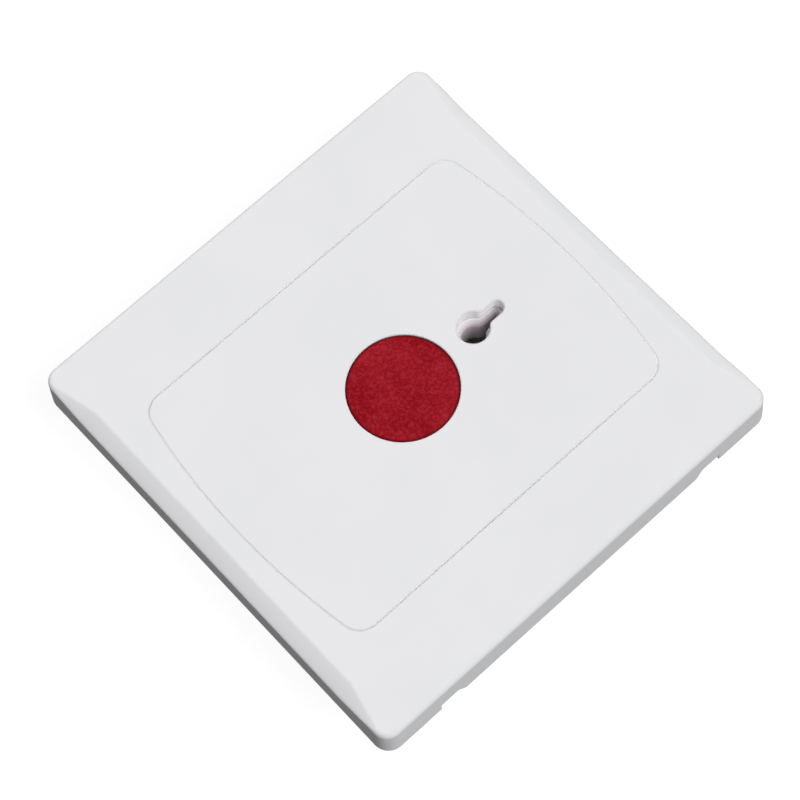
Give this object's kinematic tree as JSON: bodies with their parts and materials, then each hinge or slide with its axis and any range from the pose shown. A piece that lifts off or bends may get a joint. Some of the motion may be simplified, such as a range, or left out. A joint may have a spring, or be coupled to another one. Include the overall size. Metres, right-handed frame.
{
  "type": "emergency exit button",
  "caption": "Square wall plate with a flush round push button, a reset keyhole beside it and a latching changeover switch behind.",
  "frame": {"origin": "on the wall surface, on the button's axis, midway between the two wall-box screw slots", "axes": "+Z points out of the wall along the button's axis, +X runs from the button to the keyhole, +Y is up on the wall"},
  "size_m": [0.086, 0.086, 0.026],
  "materials": {
    "cover_white": "satin moulded ABS",
    "base_white": "moulded ABS with a fine spark texture",
    "housing_white": "moulded ABS",
    "guide_natural": "moulded polyamide",
    "button_red": "finely grained moulded ABS",
    "acetal_natural": "moulded acetal, slippery",
    "contact_brass": "stamped strip",
    "contact_silver": "silver alloy, riveted",
    "screw_steel": "zinc plated",
    "spring_steel": "drawn wire"
  },
  "bodies": {
    "housing": {"front_cover": "cover_white", "base_plate": "base_white", "switch_housing": "housing_white", "stem_guide": "guide_natural", "housing_lid": "housing_white", "com_strip": "contact_brass", "nc_strip": "contact_brass", "no_strip": "contact_brass", "contact_rivets": "contact_silver", "terminal_clamps": "screw_steel", "terminal_screws": "screw_steel", "housing_screws": "screw_steel", "lid_screws": "screw_steel", "latch_pin": "screw_steel", "latch_spring": "spring_steel", "return_spring": "spring_steel"},
    "button": {"button_cap": "button_red", "stem": "acetal_natural", "bridge": "contact_brass", "bridge_rivets": "contact_silver", "bridge_spring": "spring_steel", "spring_retainer": "screw_steel"},
    "latch": {"latch_lever": "acetal_natural"}
  },
  "joints": [
    {"name": "button_press", "type": "slide", "parent": "housing", "child": "button", "axis": [0, 0, -1], "range_m": [0, 0.0032], "stiffness_N_per_m": 400, "springref_m": -0.003, "deforming": ["return_spring"]},
    {"name": "latch_turn", "type": "hinge", "parent": "housing", "child": "latch", "pos_m": [-0.016, 0.006, 0], "axis": [0, 0, 1], "range_deg": [0, 4]}
  ],
  "couplings": [
    {"joint": "latch_turn", "follows": "button_press", "rad_per_m": 18.75}
  ]
}
